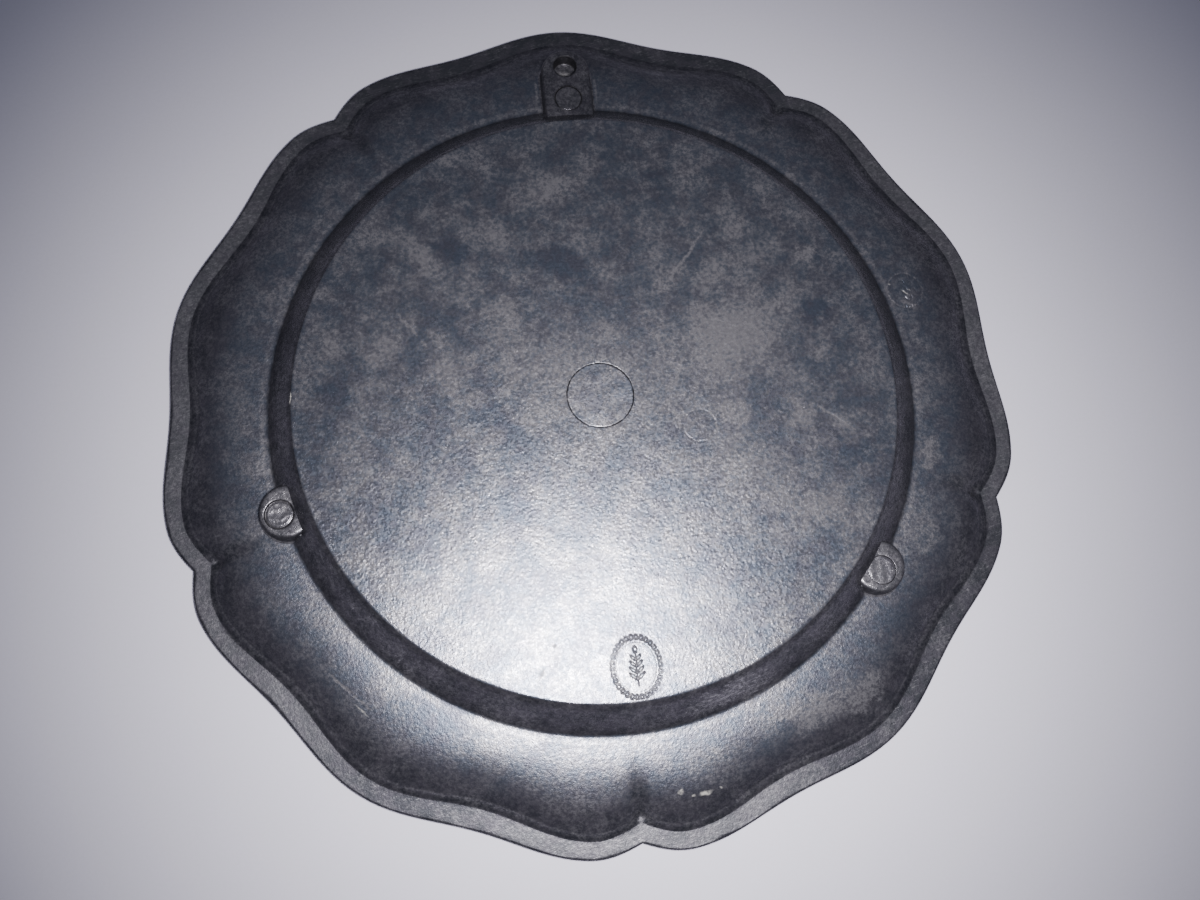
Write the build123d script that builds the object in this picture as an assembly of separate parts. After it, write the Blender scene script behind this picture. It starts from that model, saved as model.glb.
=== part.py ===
from build123d import *
import math
import os

# A cast pewter wall plate with a five-lobed rim, lying face down.
# Millimetres. The origin is on the plate's axis at the level of the rim's front face,
# +Z points out of the plate's back and +Y towards the hanging lug.

# Rim outline: five equal lobes, each symmetric about its crest
LOBES = 5
TOP_CREST = 90.0  # degrees from +X to the crest that holds the lug
CREST_RADIUS = 120.0  # at the middle of a lobe, and at the bump beside each cusp
DIP_RADIUS = 116.7  # between the crest and the bump
CUSP_RADIUS = 116.5  # the sharp pinch between two lobes
BUMP_ANGLE = 6.5  # degrees from the cusp
DIP_ANGLE = 21.0  # degrees from the cusp
OUTLINE_STEPS = 24  # spline spans along one lobe

# Levels of the back
RIM_BACK = 3.0  # the flat band round the edge
LEDGE_BACK = 3.8  # the narrow ledge at the top of the step inside the band
BORDER_TOP = 8.8  # where the curved border meets the wall
DISC_BACK = 17.2  # the flat disc behind the well
PAD_TOP = 12.9  # the lug and both pads

# Section of the rim and border
METAL = 2.2
EDGE_BEVEL = 0.6
BAND_WIDTH = 5.2
STEP_WIDTH = 1.7
LEDGE_WIDTH = 0.5
LOBE_GROWTH = 0.05  # per millimetre: how much deeper the lobes get from the edge to the ledge
BORDER_INNER_RADIUS = 89.5
BORDER_CURVE = 3.0  # exponent: how late the border turns down towards the ledge
LOBE_FADE = 1.5  # exponent: how fast the lobes fade out inwards
BORDER_SHARES = (1.0, 0.88, 0.74, 0.58, 0.42, 0.26, 0.12, 0.0)

# Wall and disc
WALL_FOOT_RADIUS = 89.06
DISC_RADIUS = 81.18
FRONT_CORNER_RADIUS = 3.0

# Plug in the casting gate
PLUG_RADIUS = 9.0
PLUG_Y = -0.8
PLUG_DEPTH = 1.2

# Sides of the lug and the pads
BOSS_DRAFT = 5.0  # degrees: how much they lean inwards
BOSS_ROUND = 1.2

# Hanging lug, with its half width at the border's level
LUG_X = 0.4
LUG_HALF_WIDTH = 7.5
LUG_ARC_Y = 99.8
LUG_INNER_Y = 78.0
NAIL_HOLE_RADIUS = 3.3
NAIL_HOLE_Y = 101.3
NAIL_HOLE_DEPTH = 3.2
NAIL_HOLE_DOME = 1.3
LUG_PIN_RADIUS = 3.9
LUG_PIN_Y = 90.8

# Pads against the wall, with their radius at the border's level
PAD_RADIUS = 7.5
PAD_PIN_RADIUS = 3.85
PAD_CENTRES = {"left_pad": (87.4, 195.9), "right_pad": (87.6, 322.9)}  # radius, angle
PIN_CENTRES = {"left_pad": (89.3, 196.0), "right_pad": (88.7, 322.5)}

# Pin ends set into the lug and the pads
PIN_DEPTH = 2.4
PIN_GROOVE_WIDTH = 0.45
PIN_GROOVE_DEPTH = 0.8

BELOW = 5.0  # how far cutting bodies run past the front face
MARGIN = 1.0

BORDER_INSET = BAND_WIDTH + STEP_WIDTH + LEDGE_WIDTH
MEAN_RADIUS = (CREST_RADIUS + DIP_RADIUS) / 2
BOSS_SPREAD = BORDER_TOP * math.tan(math.radians(BOSS_DRAFT))


def outline_radius(angle):
    """Radius of the rim's outer edge in the direction of angle, in degrees."""
    lobe = 360 / LOBES
    past_cusp = (angle - TOP_CREST + lobe / 2) % lobe
    from_cusp = min(past_cusp, lobe - past_cusp)
    if from_cusp < BUMP_ANGLE:
        rise = math.sin(math.pi / 2 * from_cusp / BUMP_ANGLE)
        return CUSP_RADIUS + (CREST_RADIUS - CUSP_RADIUS) * rise
    if from_cusp < DIP_ANGLE:
        share = (from_cusp - BUMP_ANGLE) / (DIP_ANGLE - BUMP_ANGLE)
    else:
        share = (lobe / 2 - from_cusp) / (lobe / 2 - DIP_ANGLE)
    wave = (CREST_RADIUS - DIP_RADIUS) / 2 * math.cos(math.pi * share)
    return MEAN_RADIUS + wave


def lobed_wire(radius_at, height):
    """A closed wire of one spline per lobe, from cusp to cusp."""
    lobe = 360 / LOBES
    splines = []
    for index in range(LOBES):
        start = TOP_CREST + lobe * (index - 0.5)
        points = []
        for step in range(OUTLINE_STEPS + 1):
            angle = start + lobe * step / OUTLINE_STEPS
            radius = radius_at(angle)
            x = radius * math.cos(math.radians(angle))
            y = radius * math.sin(math.radians(angle))
            points.append((x, y, height))
        splines.append(Edge.make_spline([Vector(*point) for point in points]))
    return Wire(splines)


def inset_lobes(angle, inset):
    """How far the rim's outline, moved inwards by inset, stands out from its mean radius."""
    return (outline_radius(angle) - MEAN_RADIUS) * (1 + LOBE_GROWTH * inset)


def rim_wire(inset, height):
    """The rim's outline moved inwards by inset."""
    return lobed_wire(lambda angle: MEAN_RADIUS - inset + inset_lobes(angle, inset), height)


def border_wire(share, height):
    """The border's outline: share 1 is the ledge's inner edge, share 0 the round inner edge."""
    reach = MEAN_RADIUS - BORDER_INSET - BORDER_INNER_RADIUS

    def radius_at(angle):
        lobes = inset_lobes(angle, BORDER_INSET) * share**LOBE_FADE
        return BORDER_INNER_RADIUS + reach * share + lobes

    return lobed_wire(radius_at, height)


def border_height(share):
    """Height of the border's back above the ledge's."""
    return (BORDER_TOP - LEDGE_BACK) * (1 - share**BORDER_CURVE)


def prism(wire, height):
    """A solid straight up from a flat wire."""
    return extrude(Face(wire), amount=height, dir=(0, 0, 1))


def border_dome(base):
    """The border's curved solid, standing on the level base."""
    wires = [border_wire(share, base + border_height(share)) for share in BORDER_SHARES]
    return Part() + Solid.make_loft(wires)


def cone(low_radius, high_radius, low, high):
    """A cone frustum on the plate's axis between two levels."""
    place = Pos(0, 0, (low + high) / 2)
    return place * Cone(low_radius, high_radius, high - low)


def rim():
    """The flat band with its bevelled edge, and the step up to the ledge inside it."""
    edge = [
        rim_wire(EDGE_BEVEL, 0),
        rim_wire(0, EDGE_BEVEL),
        rim_wire(0, RIM_BACK - EDGE_BEVEL),
        rim_wire(EDGE_BEVEL, RIM_BACK),
    ]
    step = [
        rim_wire(BAND_WIDTH, RIM_BACK),
        rim_wire(BAND_WIDTH + STEP_WIDTH, LEDGE_BACK),
    ]
    slab = Part() + Solid.make_loft(edge, ruled=True)
    return slab + Solid.make_loft(step, ruled=True)


def back_shape():
    """Everything under the plate's back surface, solid down to the front face."""
    dome = border_dome(LEDGE_BACK)
    wall = cone(WALL_FOOT_RADIUS, DISC_RADIUS, BORDER_TOP, DISC_BACK)
    return rim() + dome + wall


def front_hollow():
    """The space in front of the plate: the back surface moved down by the metal."""
    dome = border_dome(LEDGE_BACK - METAL)
    mouth = prism(border_wire(1.0, LEDGE_BACK - METAL - BELOW), BELOW)
    wall_angle = math.atan2(DISC_BACK - BORDER_TOP, WALL_FOOT_RADIUS - DISC_RADIUS)
    inwards = METAL * (1 - math.cos(wall_angle)) / math.sin(wall_angle)
    well = cone(
        WALL_FOOT_RADIUS - inwards,
        DISC_RADIUS - inwards,
        BORDER_TOP - METAL,
        DISC_BACK - METAL,
    )
    corner = well.edges().group_by(Axis.Z)[-1]
    well = fillet(corner, FRONT_CORNER_RADIUS)
    return dome + mouth + well


def block(outline, low, high):
    """A flat sketch pulled straight from one level to another."""
    return extrude(Pos(0, 0, low) * outline, amount=high - low)


def pin(place, radius, plate):
    """A pin end flush with the pad's top, with a groove round its head."""
    foot = PAD_TOP - PIN_DEPTH
    shoulder = PAD_TOP - PIN_GROOVE_DEPTH
    shank = block(place * Circle(radius), foot, shoulder)
    head = block(place * Circle(radius - PIN_GROOVE_WIDTH), shoulder, PAD_TOP)
    return shank + head - plate


def pin_hole(place, radius):
    """The round hole that takes a pin end."""
    return block(place * Circle(radius), PAD_TOP - PIN_DEPTH, PAD_TOP + MARGIN)


def nail_hole():
    """The blind nail hole with its domed bottom."""
    place = Pos(LUG_X, NAIL_HOLE_Y)
    dome_top = PAD_TOP - NAIL_HOLE_DEPTH
    dome_bottom = dome_top - NAIL_HOLE_DOME
    dome_radius = (NAIL_HOLE_RADIUS**2 + NAIL_HOLE_DOME**2) / (2 * NAIL_HOLE_DOME)
    bore = block(place * Circle(NAIL_HOLE_RADIUS), dome_top, PAD_TOP + MARGIN)
    below_bore = block(place * Circle(NAIL_HOLE_RADIUS), dome_bottom, dome_top)
    ball = Pos(LUG_X, NAIL_HOLE_Y, dome_bottom + dome_radius) * Sphere(dome_radius)
    return bore + (below_bore & ball)


def boss(outline):
    """A solid from the front face's level up, with leaning sides and a rounded top edge."""
    body = extrude(outline, amount=PAD_TOP, taper=BOSS_DRAFT)
    return fillet(body.edges().group_by(Axis.Z)[-1], BOSS_ROUND)


def hanger_lug(plate):
    """The U-shaped lug at the top crest, from the wall to its round end."""
    half_width = LUG_HALF_WIDTH + BOSS_SPREAD
    straight = LUG_ARC_Y - LUG_INNER_Y
    sides = Pos(LUG_X, LUG_INNER_Y + straight / 2) * Rectangle(2 * half_width, straight)
    shape = sides + Pos(LUG_X, LUG_ARC_Y) * Circle(half_width)
    lug_pin_hole = pin_hole(Pos(LUG_X, LUG_PIN_Y), LUG_PIN_RADIUS)
    return boss(shape) - plate - nail_hole() - lug_pin_hole


def pad(centre, pin_centre, plate):
    """A round pad that the wall cuts to a D shape."""
    shape = centre * Circle(PAD_RADIUS + BOSS_SPREAD)
    return boss(shape) - plate - pin_hole(pin_centre, PAD_PIN_RADIUS)


def at_polar(radius, angle):
    """A place at a radius and an angle in degrees."""
    return Rot(0, 0, angle) * Pos(radius, 0)


def build():
    """Every node of the plate, by name."""
    plate = back_shape()
    plug = block(Pos(0, PLUG_Y) * Circle(PLUG_RADIUS), DISC_BACK - PLUG_DEPTH, DISC_BACK)
    nodes = {
        "plate_body": plate - front_hollow() - plug,
        "centre_plug": plug,
        "hanger_lug": hanger_lug(plate),
        "hanger_pin": pin(Pos(LUG_X, LUG_PIN_Y), LUG_PIN_RADIUS, plate),
    }
    for name, centre in PAD_CENTRES.items():
        pin_centre = at_polar(*PIN_CENTRES[name])
        nodes[name] = pad(at_polar(*centre), pin_centre, plate)
        nodes[name + "_pin"] = pin(pin_centre, PAD_PIN_RADIUS, plate)
    return nodes


os.makedirs("parts", exist_ok=True)
for name, shape in build().items():
    export_step(shape, "parts/" + name + ".step")
    size = shape.bounding_box().size
    print(name, round(shape.volume, 1), len(shape.solids()), size)
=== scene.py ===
import math

import bmesh
import bpy
import numpy as np
from mathutils import Matrix, Vector
from mathutils.geometry import delaunay_2d_cdt


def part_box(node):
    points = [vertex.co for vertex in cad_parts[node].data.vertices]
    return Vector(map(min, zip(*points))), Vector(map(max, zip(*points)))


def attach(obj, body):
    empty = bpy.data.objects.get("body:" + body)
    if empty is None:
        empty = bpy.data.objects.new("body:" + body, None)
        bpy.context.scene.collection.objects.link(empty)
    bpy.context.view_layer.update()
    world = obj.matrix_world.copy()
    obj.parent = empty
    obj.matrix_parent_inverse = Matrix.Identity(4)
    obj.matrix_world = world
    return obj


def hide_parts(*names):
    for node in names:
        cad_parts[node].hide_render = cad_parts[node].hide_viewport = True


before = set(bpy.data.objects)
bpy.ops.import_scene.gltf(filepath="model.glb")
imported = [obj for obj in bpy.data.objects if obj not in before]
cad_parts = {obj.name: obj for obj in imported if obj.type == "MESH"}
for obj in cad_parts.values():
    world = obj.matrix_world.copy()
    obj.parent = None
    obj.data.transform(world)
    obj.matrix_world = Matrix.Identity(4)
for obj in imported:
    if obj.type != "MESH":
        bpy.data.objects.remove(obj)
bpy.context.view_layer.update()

# A cast pewter wall plate with a five-lobed rim, lying face down: the looks.
# Metres, in the CAD's frame: +Z out of the plate's back, +Y towards the hanging lug.

BODY = "root"
TAU = 2 * math.pi
MM = 0.001


def at_polar(radius, angle):
    """The place at a radius and an angle in degrees."""
    return (radius * math.cos(math.radians(angle)), radius * math.sin(math.radians(angle)))


# Levels, from the frame
DISC_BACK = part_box("plate_body")[1].z
PAD_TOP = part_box("hanger_lug")[1].z

# Rim outline: five equal lobes, each symmetric about its crest
LOBES = 5
TOP_CREST = 90.0  # degrees
CREST_RADIUS = 0.1200
DIP_RADIUS = 0.1167
CUSP_RADIUS = 0.1165
MEAN_RADIUS = (CREST_RADIUS + DIP_RADIUS) / 2
BUMP_ANGLE = 6.5  # degrees from the cusp
DIP_ANGLE = 21.0  # degrees from the cusp

# Section of the rim, border and wall
RIM_BACK = 0.0030
LEDGE_BACK = 0.0038
BORDER_TOP = 0.0088
METAL = 0.0022
EDGE_ROUND = 0.0006
EDGE_WEAR = 0.00006  # how far worn edges stand back from the CAD's
BAND_WIDTH = 0.0052
STEP_WIDTH = 0.0017
LEDGE_WIDTH = 0.0005
BORDER_INSET = BAND_WIDTH + STEP_WIDTH + LEDGE_WIDTH
LOBE_GROWTH = 50  # per metre: how much deeper the lobes get from the edge to the ledge
BORDER_INNER_RADIUS = 0.0895
BORDER_REACH = MEAN_RADIUS - BORDER_INSET - BORDER_INNER_RADIUS
BORDER_CURVE = 3.0
LOBE_FADE = 1.5
CUSP_ROUND = 0.9  # degrees: how far the band's inner edge is rounded at a cusp
CREASE_DEPTH = 0.00028
CREASE_ANGLE = 1.1  # degrees: half width of the crease at its mouth
TONGUE_LENGTH = 0.03  # share of the border that lies low at a cusp
WALL_FOOT_RADIUS = 0.08906
DISC_RADIUS = 0.08118
WALL_SLOPE = (DISC_BACK - BORDER_TOP) / (WALL_FOOT_RADIUS - DISC_RADIUS)
FRONT_CORNER_RADIUS = 0.003

# Bosses and pins
PLUG_RADIUS = 0.0090
PLUG_Y = -0.0008
PLUG_DEPTH = 0.0012
BOSS_TOP_INSET = 0.00036  # from the half width at the border's level to the one at the top
BOSS_SLOPE = math.tan(math.radians(5))
BOSS_ROUND = 0.0012
LUG_X = 0.0004
LUG_HALF_WIDTH = 0.0075
LUG_ARC_Y = 0.0998
NAIL_HOLE_RADIUS = 0.0033
NAIL_HOLE_Y = 0.1013
NAIL_HOLE_DEPTH = 0.0039
NAIL_HOLE_DOME = 0.0006
PAD_RADIUS = 0.0075
PIN_RECESS = 0.0010
EMBED = 0.0012  # how deep a boss stands in the plate's metal
FILLET = 0.0006
TOP_GAP = 0.00006  # how far the looks of a boss's top stay under the CAD's
BOSS_END = WALL_FOOT_RADIUS - (PAD_TOP - BORDER_TOP) / WALL_SLOPE - 0.0010  # inside the wall

# Pads: centre's radius and angle in degrees, and the lip of the pin's hole
PADS = {"left_pad": (0.0874, 195.9, 0.00030), "right_pad": (0.0876, 322.9, 0.00012)}
# Pins: place, radius, and looks: groove, dish, drop at the edge, ridge, its turn, seed
PINS = {
    "hanger_pin": ((LUG_X, 0.0908), 0.0039, (0.00020, 0.00015, 0.00003, 0.00003, 60, 3)),
    "left_pad_pin": (at_polar(0.0893, 196.0), 0.00385, (0.00042, 0.00022, 0.00028, 0.00022, 8, 5)),
    "right_pad_pin": (at_polar(0.0887, 322.5), 0.00385, (0.00014, 0.00008, 0.00006, 0.00004, 50, 8)),
}

# Struck marks
OVAL_MARK = (0.0018, -0.0724)
OVAL_HALF_SIZE = (0.0068, 0.0083)
ROUND_MARK = at_polar(0.0957, 15.6)
ROUND_MARK_SIZE = 0.0060
MARK_DEPTH = 0.00020

# Fineness of the meshes
LOBE_COLUMNS = 80
MARK_CUTS = 6
FILL_STEP = 0.0006

# Colours of the metal
DARK_SLATE = (0.078, 0.091, 0.127, 1)
PALE_PEWTER = (0.275, 0.264, 0.293, 1)
PURPLE_BLACK = (0.064, 0.061, 0.082, 1)
BAND_GREY = (0.086, 0.087, 0.104, 1)
# Dark patina for the creases, also used as painted shade on the band and inside the nail hole.
TARNISH_AND_SHADE = (0.030, 0.032, 0.043, 1)
# Painted shade for the well's sloped wall and the bosses' steep sides.
PAINTED_SHADE = (0.042, 0.041, 0.054, 1)
PLUM = (0.094, 0.085, 0.110, 1)
PIN_GREY = (0.110, 0.110, 0.134, 1)
# White chalky crust, also used for the painted glow of lamp light on the nail hole's floor.
CHALK_AND_GLOW = (0.50, 0.48, 0.45, 1)
# Dirt, and painted shade on the bosses' sides and round their holes' lips.
DIRT_AND_SHADE = (0.020, 0.019, 0.022, 1)
METALLIC = 0.78

# Places on the back, in millimetres and degrees: x, y, half length, half width, turn, strength
PALE_PATCHES = (
    (-2, 2, 24, 19, 0, 0.42),
    (-22, 15, 15, 10, 150, 0.25),
    (37, -21, 14, 10, -30, 0.35),
    (-40, 10, 8, 7, 0, 0.40),
    (36, 12, 26, 17, 15, 0.35),
    (-45, 42, 7, 3.5, 120, 0.7),
    (-24, 49, 5, 4, 0, 0.5),
    (-8, 61, 7, 5, 0, 0.5),
    (-36, 71, 5, 3.5, 20, 0.5),
    (-71, 19, 4, 7, 0, 0.5),
    (-57, 16, 7, 5, 30, 0.6),
    (-24, 26, 9, 4, 0, 0.5),
    (33, 31, 7, 5, 45, 0.6),
    (42, 46, 5, 6, 40, 0.5),
    (39, 14, 14, 10, 10, 0.6),
    (61.5, 35, 5, 5, 0, 0.5),
    (36, -8, 6, 4, 0, 0.5),
    (54, -10, 8, 3, 115, 0.5),
    (53, -36, 17, 5, -15, 0.6),
    (62, -85.5, 9, 4.5, 36, 1.3),
    (49, -88.5, 9, 4.5, 29, 1.2),
    (39.5, -88.5, 6, 3, 24, 0.9),
    (93, 12, 5, 2.5, 97, 0.35),
    (91, -22, 6, 3, 76, 0.9),
    (87, -46, 5, 3, 62, 0.8),
)
DARK_PATCHES = (
    (-36, 43, 6, 5, 0, 0.5),
    (-6, 38, 9, 7, 0, 0.4),
    (61, 19, 6, 5, 0, 0.4),
    (-69, 3, 7, 8, 0, 0.4),
    (67, -21, 6, 7, 0, 0.3),
    (-24, -4, 7, 7, 0, 0.3),
    (-24, -29, 6, 6, 0, 0.25),
    (-52, -30, 11, 9, 0, 0.25),
    (20, 60, 8, 6, 0, 0.30),
    (30, -50, 9, 7, 0, 0.25),
    (-47, -82, 16, 7, -30, 0.30),
)
WALL_WEAR = (
    (24.9, -81.5, 15, 3.2, 17, 0.8),
    (-66, -52, 6, 2.0, 128, 0.35),
    (-57, -64.4, 7, 2.2, 138, 0.35),
    (-9, 84.5, 3, 2, 6, 0.4),
)
# x, y, half length, turn
LONG_SCRATCHES = (
    (27, 36, 13, 51),
    (-49, 22, 8, 124),
    (-44, 41.5, 5, 114),
    (63, -12.5, 7.5, -37),
    (-71.5, -70.3, 8, 134.5),
    (38, 16, 9, -20),
)
# White crusty spots and bright nicks: x, y, half length, half width, turn, strength
CHALK_SPOTS = (
    (16.9, -105.4, 2.0, 0.75, 10, 0.8),
    (13.8, -105.7, 0.7, 0.45, 0, 0.6),
    (10.5, -104.7, 1.1, 0.6, 15, 0.7),
    (21.0, -104.7, 0.7, 0.45, 0, 0.5),
    (-81.0, 5.2, 1.6, 0.35, 86, 1.0),
    (-68.1, -75.9, 2.6, 0.35, 138, 0.5),
    (87.9, 28.0, 0.7, 0.35, -50, 0.5),
    (91.9, 25.0, 1.5, 0.30, -50, 0.55),
    (93.4, 25.6, 0.8, 0.25, -50, 0.35),
)
# Dark smudges: x, y, half length, half width, turn, strength
DIRT_SPOTS = (
    (7, -34, 1.5, 0.7, 20, 0.45),
    (-22, -71.5, 1.5, 0.8, 60, 0.6),
    (-17.8, -65.3, 0.7, 0.5, 0, 0.7),
    (-41, -21.5, 1.3, 0.7, 70, 0.4),
)
# x, y, radius, strength
FAINT_RINGS = (
    (25.7, -11.4, 4.4, 1.0),
    (42.5, 44.3, 4.1, 0.6),
    (62.7, 32.9, 3.6, 0.5),
    (92.2, 25.7, 5.3, 1.3),
)
FILE_SCRATCHES = (62, 0.28, 7, 0.40, 13)  # turn, width, stretch, density, seed

# Table, light and camera
TABLE_COLOURS = ((0.782, 0.758, 0.895, 1), (0.818, 0.792, 0.935, 1))
FLOOR_HALF = 2.0
LIGHT_PLACE = Vector((-0.009, -0.072, 0.245))
LIGHT_AIM = Vector((0.067, 0.160, -1.0))
LIGHT_SIZE = 0.035
LIGHT_SPREAD = math.radians(87)
LIGHT_POWER = 0.44
LIGHT_COLOUR = (1.0, 0.985, 0.965)
WORLD_GREY = (0.119, 0.125, 0.152, 1.0)
CAMERA_PLACE = (-0.02570, -0.07395, 0.27374)
CAMERA_TURNS = ((12.76, "X"), (-5.22, "Y"), (-4.88, "Z"))
CAMERA_LENS = 30.05


# ---- shape of the plate


def smoothstep(low, high, value):
    """0 below low, 1 above high and a smooth rise between."""
    share = np.clip((value - low) / (high - low), 0, 1)
    return share * share * (3 - 2 * share)


def unevenness(x, y, size, seed):
    """A smooth random field, about -1 to 1, with bumps about size across."""
    random = np.random.default_rng(seed)
    waves = 9
    field = np.zeros_like(x)
    for _ in range(waves):
        direction = random.uniform(0, TAU)
        length = size * random.uniform(1.2, 3.2)
        along = x * math.cos(direction) + y * math.sin(direction)
        field += np.sin(TAU * along / length + random.uniform(0, TAU))
    return field / math.sqrt(waves)


def angle_from_cusp(angle):
    """Degrees to the nearest cusp."""
    lobe = 360 / LOBES
    past_cusp = (angle - TOP_CREST + lobe / 2) % lobe
    return np.minimum(past_cusp, lobe - past_cusp)


def outline_radius(angle, cusp_round=0.0):
    """Radius of the rim's outer edge at angle, in degrees, with its cusps rounded."""
    from_cusp = np.sqrt(angle_from_cusp(angle) ** 2 + cusp_round**2)
    half_lobe = 180 / LOBES
    rise = np.sin(math.pi / 2 * np.minimum(from_cusp / BUMP_ANGLE, 1))
    near = CUSP_RADIUS + (CREST_RADIUS - CUSP_RADIUS) * rise
    falling = (from_cusp - BUMP_ANGLE) / (DIP_ANGLE - BUMP_ANGLE)
    rising = (half_lobe - from_cusp) / (half_lobe - DIP_ANGLE)
    share = np.where(from_cusp < DIP_ANGLE, falling, rising)
    wave = MEAN_RADIUS + (CREST_RADIUS - DIP_RADIUS) / 2 * np.cos(math.pi * share)
    return np.where(from_cusp < BUMP_ANGLE, near, wave)


def inset_radius(angle, inset):
    """The rim's outline moved inwards by inset, with deeper lobes and rounder cusps."""
    softened = outline_radius(angle, CUSP_ROUND * inset / BAND_WIDTH) - MEAN_RADIUS
    return MEAN_RADIUS - inset + softened * (1 + LOBE_GROWTH * inset) - EDGE_WEAR


def near_cusp(angle, width):
    """1 at a cusp, fading out over width degrees."""
    return np.exp(-((angle_from_cusp(angle) / width) ** 2))


def ledge_height(angle):
    """Height of the ledge, which sinks to the band's level at each cusp."""
    return LEDGE_BACK - 0.9 * (LEDGE_BACK - RIM_BACK) * near_cusp(angle, CREASE_ANGLE)


def border_lobes(angle):
    """How far the lobes move the border's outer edge from its mean radius."""
    return inset_radius(angle, BORDER_INSET) - MEAN_RADIUS + BORDER_INSET


def border_radius(share, angle):
    """Radius on the border: share 1 is the ledge's edge, share 0 the round inner edge."""
    return BORDER_INNER_RADIUS + BORDER_REACH * share + border_lobes(angle) * share**LOBE_FADE


def border_height(share, angle):
    """Height of the border's back, with the crease that runs in from each cusp."""
    ledge = ledge_height(angle)
    low = np.minimum(1, share * (1 + TONGUE_LENGTH * near_cusp(angle, CREASE_ANGLE)))
    dome = ledge + (BORDER_TOP - ledge) * (1 - low**BORDER_CURVE)
    width = CREASE_ANGLE * (0.4 + 0.6 * share**2)
    return dome - CREASE_DEPTH * np.sin(math.pi * share**2) * near_cusp(angle, width)


def border_share(radius, angle):
    """The share at a place on the border, found by repeated correction."""
    lobes = border_lobes(angle)
    share = np.clip((radius - BORDER_INNER_RADIUS) / BORDER_REACH, 0, 1)
    for _ in range(8):
        nearer = (radius - BORDER_INNER_RADIUS - lobes * share**LOBE_FADE) / BORDER_REACH
        share = np.clip(nearer, 0, 1)
    return share


def disc_height(x, y):
    """The disc's back, a little uneven as cast."""
    wide = unevenness(x, y, 0.016, 11)
    fine = unevenness(x, y, 0.0045, 12)
    return np.minimum(DISC_BACK - 0.00008 + 0.00003 * wide + 0.000008 * fine, DISC_BACK)


def back_height(x, y):
    """Height of the plate's back surface at a place inside the ledge."""
    radius = np.hypot(x, y)
    angle = np.degrees(np.arctan2(y, x))
    border = border_height(border_share(radius, angle), angle)
    wall = BORDER_TOP + (WALL_FOOT_RADIUS - radius) * WALL_SLOPE
    return np.where(radius > WALL_FOOT_RADIUS, border, np.minimum(wall, DISC_BACK))


# ---- mesh tools


def points_at(*numbers):
    """An array of points from arrays or numbers, one for each axis."""
    return np.stack(np.broadcast_arrays(*numbers), axis=-1)


def add_object(name, data):
    """Puts a mesh, a lamp or a camera in the scene."""
    made = bpy.data.objects.new(name, data)
    bpy.context.scene.collection.objects.link(made)
    return made


class Shell:
    """Collects the points and faces of one mesh, whose touching points merge at the end."""

    def __init__(self):
        self.points = []
        self.faces = []

    def add(self, points, faces):
        """Adds faces given by the numbers of their own points."""
        start = len(self.points)
        self.points.extend(tuple(point) for point in points)
        self.faces.extend(tuple(start + index for index in face) for face in faces)

    def strip(self, rings):
        """Adds a skin through closed rings with the same number of points."""
        count = len(rings[0])
        faces = []
        for index in range(len(rings) - 1):
            here = index * count
            for column in range(count):
                following = (column + 1) % count
                near = (here + column, here + following)
                faces.append((*near, near[1] + count, near[0] + count))
        self.add(np.concatenate(rings), faces)

    def cap(self, ring):
        """Closes a ring with a fan of triangles from its middle."""
        count = len(ring)
        faces = [(count, column, (column + 1) % count) for column in range(count)]
        self.add(np.concatenate([ring, ring.mean(axis=0)[None]]), faces)

    def fill(self, loop, holes, height_at):
        """Fills the area inside a loop and outside round holes, at height_at(x, y).

        Each hole is its centre, its radius and the ring of points round its edge.
        """
        flat = [loop[:, :2] / MM]
        edges = [(i, (i + 1) % len(loop)) for i in range(len(loop))]
        taken = len(loop)
        for _, _, ring in holes:
            flat.append(ring[:, :2] / MM)
            edges += [(taken + i, taken + (i + 1) % len(ring)) for i in range(len(ring))]
            taken += len(ring)
        flat.append(self.grid(loop, holes) / MM)
        seeds = [Vector(point) for point in np.concatenate(flat)]
        spots, _, triangles, _, _, _ = delaunay_2d_cdt(seeds, edges, [], 1, 1e-5)
        spots = np.array([tuple(spot) for spot in spots]) * MM
        kept = []
        for triangle in triangles:
            middle = spots[list(triangle)].mean(axis=0)
            gaps = [math.dist(middle, centre) - radius for centre, radius, _ in holes]
            if min(gaps) > 0:
                kept.append(triangle)
        heights = height_at(spots[:, 0], spots[:, 1])
        self.add(points_at(spots[:, 0], spots[:, 1], heights), kept)

    @staticmethod
    def grid(loop, holes):
        """Evenly spaced places that keep clear of the loop and of the holes."""
        low = loop[:, :2].min(axis=0)
        high = loop[:, :2].max(axis=0)
        x, y = np.meshgrid(*(np.arange(low[i], high[i], FILL_STEP) for i in (0, 1)))
        spots = points_at(x.ravel(), y.ravel())
        gaps = np.linalg.norm(spots[:, None] - loop[None, :, :2], axis=2).min(axis=1)
        clear = gaps > 0.6 * FILL_STEP
        for centre, radius, _ in holes:
            clear &= np.linalg.norm(spots - centre, axis=1) > radius + 0.6 * FILL_STEP
        return spots[clear]

    def piece(self, name):
        """The smooth-shaded mesh object, with its normals outwards."""
        mesh = bpy.data.meshes.new(name)
        mesh.from_pydata(self.points, [], self.faces)
        surface = bmesh.new()
        surface.from_mesh(mesh)
        bmesh.ops.remove_doubles(surface, verts=surface.verts, dist=5e-7)
        bmesh.ops.recalc_face_normals(surface, faces=surface.faces)
        loose = [vertex for vertex in surface.verts if not vertex.link_faces]
        bmesh.ops.delete(surface, geom=loose, context="VERTS")
        surface.to_mesh(mesh)
        surface.free()
        mesh.shade_smooth()
        return add_object(name, mesh)


def finish_piece(piece, slot, material, *nodes):
    """Gives a piece its material and body, and hides the CAD nodes that it stands for. The slot is not
    used.
    """
    piece.data.materials.clear()
    piece.data.materials.append(material)
    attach(piece, BODY)
    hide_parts(*nodes)


# ---- the plate


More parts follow.
